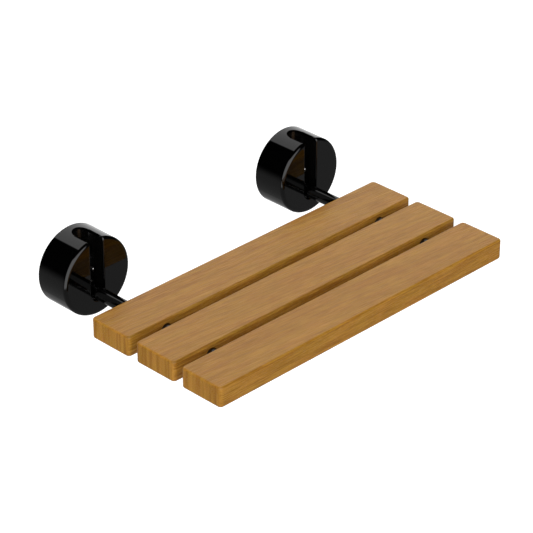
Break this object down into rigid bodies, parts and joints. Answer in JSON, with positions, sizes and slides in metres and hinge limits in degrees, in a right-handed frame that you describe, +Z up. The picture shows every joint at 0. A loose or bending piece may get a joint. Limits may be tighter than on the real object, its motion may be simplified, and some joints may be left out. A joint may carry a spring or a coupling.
{
  "type": "fold down wall seat",
  "caption": "Slatted wooden seat on round arms that folds up between drum shaped wall hubs with open arm slots.",
  "frame": {"origin": "on the wall plane, midway between the two hubs, level with the hub centres", "axes": "+X along the slats, +Y into the wall, +Z up; drawn with the seat down"},
  "size_m": [0.5392, 0.3577, 0.1142],
  "materials": {
    "gloss_black_coat": "gloss black coat over metal",
    "black_coated_block": "gloss black coat over a machined block",
    "honey_wood": "fine straight grain, oiled, honey brown",
    "zinc_plated_steel": "plated sheet",
    "stainless_steel": "turned, satin",
    "polished_ball": "polished stainless steel",
    "black_oxide_steel": "black oxide",
    "black_screw": "black oxide",
    "black_acetal": "moulded, satin",
    "grey_foam": "closed cell foam"
  },
  "bodies": {
    "wall_hubs": {"left_gasket": "grey_foam", "left_wall_plate": "zinc_plated_steel", "left_pivot_block": "black_coated_block", "left_hub_cover": "gloss_black_coat", "left_cover_screws": "black_screw", "left_block_screws": "stainless_steel", "left_pivot_pin": "stainless_steel", "left_pin_clips": "stainless_steel", "left_arm_rest": "black_acetal", "left_plunger_body": "black_oxide_steel", "left_plunger_spring": "stainless_steel", "right_gasket": "grey_foam", "right_wall_plate": "zinc_plated_steel", "right_pivot_block": "black_coated_block", "right_hub_cover": "gloss_black_coat", "right_cover_screws": "black_screw", "right_block_screws": "stainless_steel", "right_pivot_pin": "stainless_steel", "right_pin_clips": "stainless_steel", "right_arm_rest": "black_acetal", "right_plunger_body": "black_oxide_steel", "right_plunger_spring": "stainless_steel"},
    "seat": {"left_arm_bush": "black_acetal", "left_arm": "gloss_black_coat", "right_arm_bush": "black_acetal", "right_arm": "gloss_black_coat", "rear_slat": "honey_wood", "middle_slat": "honey_wood", "front_slat": "honey_wood", "slat_screws": "stainless_steel"},
    "left_ball": {"left_plunger_ball": "polished_ball"},
    "right_ball": {"right_plunger_ball": "polished_ball"}
  },
  "joints": [
    {"name": "seat_fold", "type": "hinge", "parent": "wall_hubs", "child": "seat", "pos_m": [0, -0.02455, -0.0247], "axis": [-1, 0, 0], "range_deg": [0, 90]},
    {"name": "left_ball_press", "type": "slide", "parent": "wall_hubs", "child": "left_ball", "axis": [1, 0, 0], "range_m": [0, 0.0012], "stiffness_N_per_m": 3000, "springref_m": -0.002, "deforming": ["left_plunger_spring"]},
    {"name": "right_ball_press", "type": "slide", "parent": "wall_hubs", "child": "right_ball", "axis": [1, 0, 0], "range_m": [0, 0.0012], "stiffness_N_per_m": 3000, "springref_m": -0.002, "deforming": ["right_plunger_spring"]}
  ]
}
